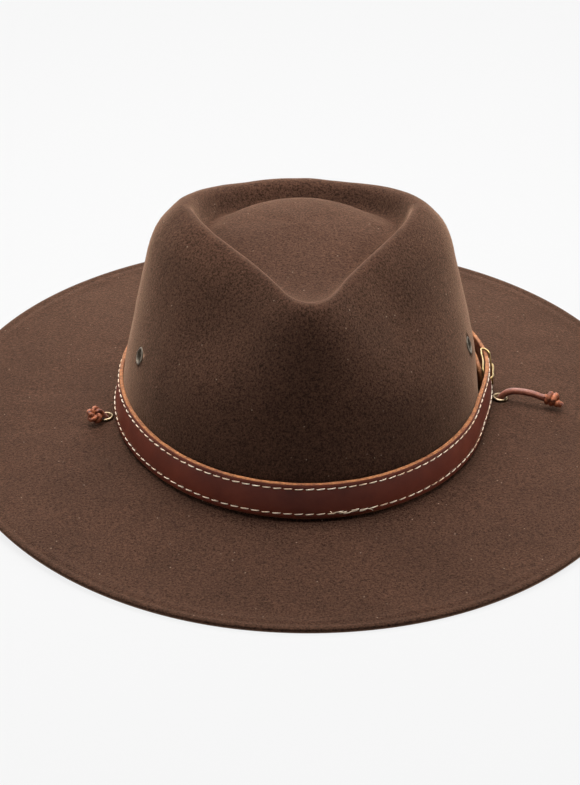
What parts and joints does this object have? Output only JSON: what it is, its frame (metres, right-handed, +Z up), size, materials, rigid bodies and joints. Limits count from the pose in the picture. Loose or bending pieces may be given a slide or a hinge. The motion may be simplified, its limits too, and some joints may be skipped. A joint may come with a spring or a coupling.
{
  "type": "hunting hat",
  "caption": "Wide-brimmed felt hat with a teardrop crown, a stitched leather band with a brass buckle, eyelets and a knotted leather chin lace.",
  "frame": {"origin": "middle of the brim on the surface it rests on", "axes": "+Z up, -Y the front of the hat, +X the wearer's left"},
  "size_m": [0.3394, 0.3714, 0.1114],
  "materials": {
    "felt": "matt fur felt",
    "band_leather": "smooth, satin",
    "brass": "polished",
    "dull_brass": "aged, dull",
    "lace_leather": "matt"
  },
  "bodies": {
    "root": {"felt_body": "felt", "hat_band": "band_leather", "buckle_frame": "brass", "buckle_prong": "brass", "crown_eyelet_left": "dull_brass", "crown_eyelet_right": "dull_brass", "brim_eyelet_left": "brass", "brim_eyelet_right": "brass", "chin_lace": "lace_leather", "lace_knot_left": "lace_leather", "lace_knot_right": "lace_leather"}
  },
  "joints": []
}
